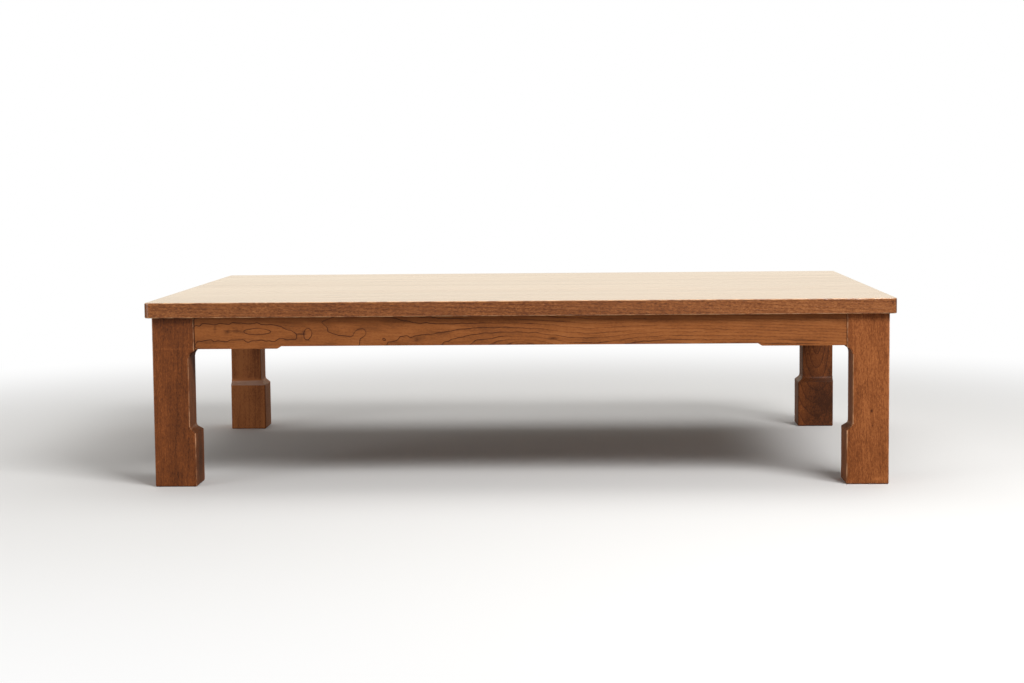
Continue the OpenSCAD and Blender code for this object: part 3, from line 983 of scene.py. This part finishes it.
@dataclass
class ButtonScrews(Screws):
    """The twelve screws that hold the buttons to the top, one up through each button."""

    length: float = 0.029
    inward: float = 0.0465
    height: float = 0.292

    def build(self, material: bpy.types.Material) -> None:
        """Makes the piece in the place of its CAD node.

        A screw stands at the middle of its button along the apron, and at a fixed distance
        inwards from the frame's outer face.

        Args:
            material: The metal.
        """
        names = [n for n in sorted(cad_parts) if n.startswith("button_") and n != "button_screws"]
        middles = np.array([middle_of(n) for n in names])
        on_long = np.array([("front" in n) or ("back" in n) for n in names])
        in_x = np.sign(middles[:, 0]) * (self.corner[0] - self.inward)
        in_y = np.sign(middles[:, 1]) * (self.corner[1] - self.inward)
        x = np.where(on_long, middles[:, 0], in_x)
        y = np.where(on_long, in_y, middles[:, 1])
        places = np.stack([x, y, np.full(len(names), self.height)], axis=-1)
        ways = np.tile([[0.0, 0.0, 1.0]], (len(names), 1))
        piece = self.many("threaded_button_screws", self.length, places, ways, material)
        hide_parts("button_screws")
        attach(piece, "root")
        LOG.info("%s: %d screws", piece.name, len(places))


@dataclass
class TableTop(Joinery):
    """Four edge-joined boards under a glossy lacquer."""

    finish: WoodFinish = STAINED_TOP
    ease: float = 0.0
    cuts: dict[str, Cut] = field(default_factory=lambda: {
        "top_board_front": Cut(
            ALONG_X, 1.7, (0.0, 0.05, -0.13), (0.0, 1.2, 0.6),
            stains_and_painted_light=on_front(TOP_FACE, (0.674, 0.331, 0.002, 0.0025, 0.5),
                            # Painted light: the next row lightens the right part of the front edge, as if
                            # more light fell on that end.
                            (0.62, 0.326, 0.26, 0.05, -0.1))),
        "top_board_front_middle": Cut(
            ALONG_X, 4.2, (0.0, -0.03, -0.10), (0.0, -1.0, 0.9), tone=0.03),
        "top_board_back_middle": Cut(
            ALONG_X, 8.8, (0.0, 0.02, 0.12), (0.0, 0.8, -0.7), tone=-0.02),
        "top_board_back": Cut(ALONG_X, 12.5, (0.0, 0.04, -0.11), (0.0, 1.1, 0.4), tone=0.02),
    })


@dataclass
class TopTongues(Joinery):
    """Loose tongues in the joints between the boards."""

    finish: WoodFinish = TONGUE_WOOD
    ease: float = 0.0
    cuts: dict[str, Cut] = field(default_factory=lambda: {
        "top_spline_front": Cut(ALONG_X, 21.0, (0.0, 0.04, 0.06)),
        "top_spline_middle": Cut(ALONG_X, 22.0, (0.0, 0.05, 0.05)),
        "top_spline_back": Cut(ALONG_X, 23.0, (0.0, 0.03, 0.07)),
    })


@dataclass
class Legs(Joinery):
    """Four square legs, each from its own baulk, with a relieved waist."""

    finish: WoodFinish = STAINED_LEG
    ease: float = 0.0018
    cuts: dict[str, Cut] = field(default_factory=lambda: {
        "leg_front_left": Cut(
            ALONG_Z, 31.0, (0.05, 0.06, 0.0), (0.0, 1.6, 40.0), 0.003,
            tone=-0.05, rubbed_and_highlit=0.7,
            stains_and_painted_light=on_front(FRONT_LEG_FACE, (-0.5915, 0.028, 0.0022, 0.003, -0.5),
                            (-0.635, 0.2547, 0.028, 0.0014, -0.14),
                            (-0.632, 0.15, 0.017, 0.14, 0.05),
                            (-0.632, 0.298, 0.04, 0.045, 0.1))
            # Painted shade: this hill darkens the foot's inner face, where less light reaches under the
            # table.
            + (Swirl((-0.5935, -0.405, 0.05), (0.004, 0.025, 0.07), 0.22),)),
        "leg_front_right": Cut(
            ALONG_Z, 33.4, (-0.06, 0.05, 0.0), (0.0, 3.0, 180.0), 0.003, tone=0.15,
            stains_and_painted_light=on_front(FRONT_LEG_FACE, (0.639, 0.1345, 0.0018, 0.0026, 0.6),
                            (0.6405, 0.1069, 0.0014, 0.0018, 0.4),
                            (0.642, 0.298, 0.016, 0.022, 0.08),
                            (0.615, 0.26, 0.005, 0.07, -0.1),
                            # Painted shade: the next row darkens the lower foot.
                            (0.632, 0.05, 0.06, 0.05, 0.07),
                            (0.652, 0.01, 0.012, 0.004, -0.25))),
        "leg_back_left": Cut(
            ALONG_Z, 36.1, (0.04, -0.07, 0.0), (0.0, 1.5, -60.0), 0.003,
            # The high tone lifts this leg's colour, partly as painted light on a leg that stands in the
            # table's shade.
            tone=0.38, dust_and_light=0.6, streaky=3.2, rubbed_and_highlit=0.4,
            # Painted light and shade: the first row lightens the sloped shoulder as if lit from the front
            # left; the next two make the waist's front face darker towards its right edge and lighter on
            # its left.
            stains_and_painted_light=on_front(BACK_LEFT_LEG_FACE, (-0.632, 0.106, 0.06, 0.0055, -1.1),
                            (-0.61, 0.23, 0.012, 0.11, 0.75),
                            (-0.645, 0.19, 0.006, 0.16, -0.12))),
        "leg_back_right": Cut(
            ALONG_Z, 38.9, (0.0033, -0.0162, 0.0), (0.0, 18.0, -90.0), 0.0090,
            wander=0.008, ripple=0.004, tone=-0.07, figure=6.0, rubbed_and_highlit=0.4,
            # Painted shade: the first row darkens the foot, which stands in the table's shade.
            stains_and_painted_light=on_front(BACK_RIGHT_LEG_FACE, (0.648, 0.048, 0.036, 0.06, 0.36),
                            (0.6, 0.05, 0.012, 0.06, -0.16))),
    })


@dataclass
class Aprons(Joinery):
    """Four aprons with a stepped lower edge."""

    finish: WoodFinish = STAINED_APRON
    ease: float = 0.0009
    cuts: dict[str, Cut] = field(default_factory=lambda: {
        "apron_front": Cut(
            ALONG_X, 51.0, (-0.40, 0.062, -0.008), (0.0, 3.43, -2.29),
            pith=0.0035, wander=0.003, ripple=0.0026, tone=0.04, swirls=APRON_SWIRLS,
            stains_and_painted_light=on_front(
                APRON_FACE, (-0.5, 0.283, 0.13, 0.08, 0.05),
                (-0.532, 0.2862, 0.005, 0.0042, 0.3), (-0.516, 0.287, 0.008, 0.0034, 0.24),
                (-0.5, 0.2858, 0.009, 0.003, 0.2), (-0.48, 0.285, 0.012, 0.0025, 0.1),
                (-0.3925, 0.283, 0.004, 0.005, 0.2), (-0.399, 0.2805, 0.009, 0.0014, 0.28),
                (-0.185, 0.2685, 0.006, 0.003, 0.18), (0.064, 0.27, 0.008, 0.0022, 0.3),
                (-0.555, 0.29, 0.003, 0.008, 0.2), (-0.594, 0.283, 0.0016, 0.2, 0.6),
                (0.594, 0.283, 0.0012, 0.2, 0.3))),
        "apron_back": Cut(ALONG_X, 53.5, (0.2, -0.06, 0.01), (0.0, -6.0, 0.0), 0.005,
                          wander=0.02, ripple=0.0026, tone=-0.02),
        "apron_left": Cut(ALONG_Y, 57.2, (0.07, 0.1, 0.02), (4.0, 0.0, 0.0), 0.005,
                          wander=0.02, ripple=0.002, tone=-0.03),
        "apron_right": Cut(ALONG_Y, 59.8, (-0.07, -0.1, -0.02), (-5.0, 0.0, 0.0), 0.005,
                           wander=0.02, ripple=0.002),
    })


@dataclass
class Battens(Joinery):
    """Three battens keyed under the top."""

    finish: WoodFinish = PLANED_WOOD
    cuts: dict[str, Cut] = field(default_factory=lambda: {
        "batten_left": Cut(ALONG_Y, 61.0, (0.05, 0.0, 0.08)),
        "batten_middle": Cut(ALONG_Y, 63.0, (-0.04, 0.0, 0.07), tone=0.05),
        "batten_right": Cut(ALONG_Y, 65.0, (0.03, 0.0, -0.07), tone=-0.04),
    })


@dataclass
class CornerBraces(Joinery):
    """Four braces across the corners, their grain running across the corner."""

    finish: WoodFinish = PLANED_WOOD

    def __post_init__(self) -> None:
        """Turns each brace's grain by 45 degrees, to the side that its corner asks for."""
        self.cuts = {
            "brace_front_left": Cut(ALONG_X, 71.0, (0.05, 0.05, 0.03), (0.0, 0.0, -45.0)),
            "brace_front_right": Cut(ALONG_X, 73.0, (-0.05, 0.05, 0.04), (0.0, 0.0, 45.0)),
            "brace_back_left": Cut(ALONG_X, 75.0, (0.04, -0.05, 0.03), (0.0, 0.0, 45.0), tone=0.04),
            "brace_back_right": Cut(ALONG_X, 77.0, (-0.05, -0.04, 0.05), (0.0, 0.0, -45.0)),
        }


@dataclass
class Buttons(Joinery):
    """Twelve wooden buttons, cut with the grain across the apron so that the tongue is strong."""

    finish: WoodFinish = PLANED_WOOD
    long_rows: tuple[str, ...] = ("front", "back")
    short_rows: tuple[str, ...] = ("left", "right")

    def __post_init__(self) -> None:
        """Names the buttons of each apron and gives each its own cut."""
        long_names = [f"button_{row}_{i}" for row in self.long_rows for i in range(1, 5)]
        short_names = [f"button_{row}_{i}" for row in self.short_rows for i in range(1, 3)]
        self.cuts = {
            name: Cut(ALONG_Y, 81.0 + 1.3 * i, (0.04, 0.0, 0.05), tone=0.05 * math.sin(2.1 * i))
            for i, name in enumerate(long_names)
        } | {
            name: Cut(ALONG_X, 101.0 + 1.3 * i, (0.0, 0.04, 0.05), tone=0.05 * math.cos(1.7 * i))
            for i, name in enumerate(short_names)
        }


@dataclass(frozen=True)
class SoftLamp:
    """One soft lamp: where it stands, what it looks at, how large and how strong it is."""

    name: str
    place: Point
    aim: Point
    width: float
    height: float
    watts: float

    def build(self) -> None:
        """Hangs the lamp."""
        lamp = bpy.data.lights.new(self.name, "AREA")
        lamp.shape = "RECTANGLE"
        lamp.size, lamp.size_y, lamp.energy = self.width, self.height, self.watts
        holder = add_object(self.name, lamp)
        holder.location = self.place
        way = Vector(self.aim) - Vector(self.place)
        holder.rotation_euler = way.to_track_quat("-Z", "Y").to_euler()
        LOG.info("%s: %.0f W", self.name, self.watts)


@dataclass
class Studio:
    """The pale floor, the white surroundings and the soft lamps."""

    floor_reach: float = 40.0
    floor_colour: Colour = (0.775, 0.77, 0.76, 1.0)
    floor_bounce: Colour = (0.30, 0.26, 0.23, 1.0)
    fade_from: float = 0.9
    fade_to: float = 2.4
    room_light: float = 0.22
    room_colour: Colour = (1.0, 0.99, 0.97, 1.0)
    wall_colour: Colour = (1.0, 0.8925, 0.73, 1.0)
    towards_wall: Point = (0.0, 0.80, 0.60)
    lamps: tuple[SoftLamp, ...] = (
        SoftLamp("key_lamp", (1.9, -2.7, 2.7), (0.35, -0.1, 0.15), 2.0, 1.3, 147.0),
        SoftLamp("side_lamp", (-2.9, -2.3, 0.8), (-0.5, 0.2, 0.1), 1.6, 1.1, 32.0),
        SoftLamp("top_lamp", (0.2, 0.6, 2.6), (0.0, 0.0, 0.3), 2.6, 2.0, 30.0),
    )

    def build_floor(self) -> None:
        """Lays the floor, which turns into plain white far off and is open seen from below."""
        r = self.floor_reach
        mesh = bpy.data.meshes.new("floor")
        mesh.from_pydata([(-r, -r, 0), (r, -r, 0), (r, r, 0), (-r, r, 0)], [], [(0, 1, 2, 3)])
        floor = add_object("floor", mesh)
        material, bench, surface = new_material("pale_floor")
        surface.inputs["Roughness"].default_value = 0.75
        surface.inputs["Specular IOR Level"].default_value = 0.2
        place = bench.put("ShaderNodeTexCoord").outputs["Object"]
        far = bench.ramp(bench.vector_value("LENGTH", place), self.fade_from, self.fade_to)
        rays = bench.put("ShaderNodeLightPath").outputs
        bench.feed(surface.inputs["Base Color"], bench.mix(
            rays["Is Camera Ray"], self.floor_bounce, self.floor_colour))
        white = bench.put("ShaderNodeEmission", {"Color": WHITE, "Strength": 1.0}).outputs[0]
        faded = bench.mix_shader(bench.times(far, rays["Is Camera Ray"]), surface.outputs[0], white)
        behind = bench.put("ShaderNodeNewGeometry").outputs["Backfacing"]
        clear = bench.put("ShaderNodeBsdfTransparent").outputs[0]
        open_below = bench.mix_shader(bench.times(behind, rays["Is Camera Ray"]), faded, clear)
        bench.feed(material.node_tree.nodes["Material Output"].inputs["Surface"], open_below)
        mesh.materials.append(material)

    def build_room(self) -> None:
        """Makes the surroundings: plain light for the table, and white where they are seen.

        What a gloss shows is a white wall behind and above the table and a dimmer room in
        front: its strength rises with the part of the ray's direction that points back and up.
        """
        world = bpy.data.worlds.new("studio_room")
        bpy.context.scene.world = world
        world.use_nodes = True
        world.node_tree.nodes.clear()
        bench = NodeBench(world.node_tree)
        rays = bench.put("ShaderNodeLightPath").outputs
        way = bench.put("ShaderNodeTexCoord").outputs["Generated"]
        facing_wall = bench.vector_value("DOT_PRODUCT", way, self.towards_wall)
        wall = bench.ramp(facing_wall, -0.35, 0.45, 0.16, 1.0)
        light = bench.backdrop(self.room_colour, self.room_light)
        mirrored = bench.backdrop(self.wall_colour, wall)
        in_gloss = bench.mix_shader(rays["Is Glossy Ray"], light, mirrored)
        straight = bench.math("ADD", rays["Is Camera Ray"], rays["Is Transmission Ray"], clamp=True)
        either = bench.mix_shader(straight, in_gloss, bench.backdrop(WHITE))
        bench.put("ShaderNodeOutputWorld", {"Surface": either})

    def build(self) -> None:
        """Makes the floor, the surroundings and the lamps."""
        self.build_floor()
        self.build_room()
        for lamp in self.lamps:
            lamp.build()
        LOG.info("studio: floor, surroundings and %d lamps", len(self.lamps))


@dataclass(frozen=True)
class TableCamera:
    """The camera at the photograph's place, from which it looks slightly down and left."""

    place: Point = (0.1146, -4.0491, 0.5862)
    lens: float = 70.07
    sensor: float = 36.0
    down: float = 5.09
    left: float = 2.01
    roll: float = 0.54

    def build(self) -> None:
        """Sets up the camera.

        The line of sight has the parts minus sin(left) cos(down), cos(left) cos(down) and
        minus sin(down). Right is that line crossed with up; both are turned by the roll.
        """
        down, left, roll = (math.radians(v) for v in (self.down, self.left, self.roll))
        sight = Vector((-math.sin(left) * math.cos(down), math.cos(left) * math.cos(down), -math.sin(down)))
        level_right = sight.cross(Vector((0, 0, 1))).normalized()
        level_up = level_right.cross(sight)
        right = level_right * math.cos(roll) - level_up * math.sin(roll)
        up = level_up * math.cos(roll) + level_right * math.sin(roll)
        data = bpy.data.cameras.new("table_camera")
        data.lens, data.sensor_width = self.lens, self.sensor
        data.clip_start, data.clip_end = 0.05, 200.0
        camera = add_object("table_camera", data)
        facing = Matrix((right, up, -sight)).transposed().to_4x4()
        camera.matrix_world = Matrix.Translation(self.place) @ facing
        bpy.context.scene.camera = camera
        LOG.info("camera: lens %.2f mm", self.lens)


def main() -> None:
    """Builds the table, then the studio and the camera."""
    logging.basicConfig(level=logging.INFO, format="%(name)s | %(message)s")
    bpy.context.scene.view_settings.view_transform = "Standard"
    TableCamera().build()
    for part in (TableTop(), TopTongues(), Legs(), Aprons(), Battens(), CornerBraces(), Buttons()):
        part.build()
    metal = ScrewMetal().make()
    BraceScrews().build(metal)
    ButtonScrews().build(metal)
    Studio().build()


if __name__ == "__main__":
    main()
